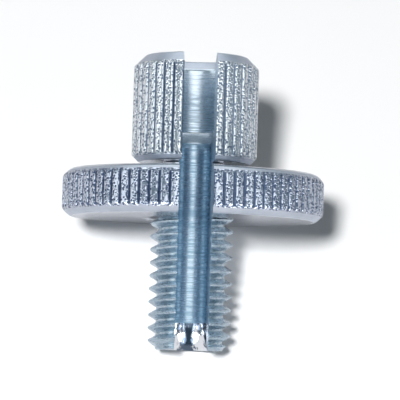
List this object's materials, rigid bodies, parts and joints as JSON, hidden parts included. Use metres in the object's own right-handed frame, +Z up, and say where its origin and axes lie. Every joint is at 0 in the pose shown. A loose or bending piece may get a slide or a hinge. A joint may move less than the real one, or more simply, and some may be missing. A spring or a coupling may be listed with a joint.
{
  "type": "adjusting screw",
  "caption": "Slotted cable adjusting screw with a knurled head, a coarse thread and a thin knurled lock nut, zinc plated.",
  "frame": {"origin": "middle of the bounding box on the ground that the part lies on", "axes": "+Z up; the screw's axis lies in the YZ plane and rises towards +Y, from the tip to the head, and the slot faces up and towards -Y"},
  "size_m": [0.0252, 0.0276, 0.023],
  "materials": {
    "zinc_screw": "bright zinc plate with a pale blue cast over turned and knurled steel",
    "zinc_nut": "bright zinc plate with a pale blue cast over turned and knurled steel"
  },
  "bodies": {
    "screw": {"adjusting_screw": "zinc_screw"},
    "nut": {"lock_nut": "zinc_nut"}
  },
  "joints": [
    {"name": "nut_on_thread", "type": "hinge", "parent": "screw", "child": "nut", "pos_m": [0, -0.00005, 0.01122], "axis": [0, 0.8208, 0.5712], "range_deg": [-3370, 259]}
  ]
}
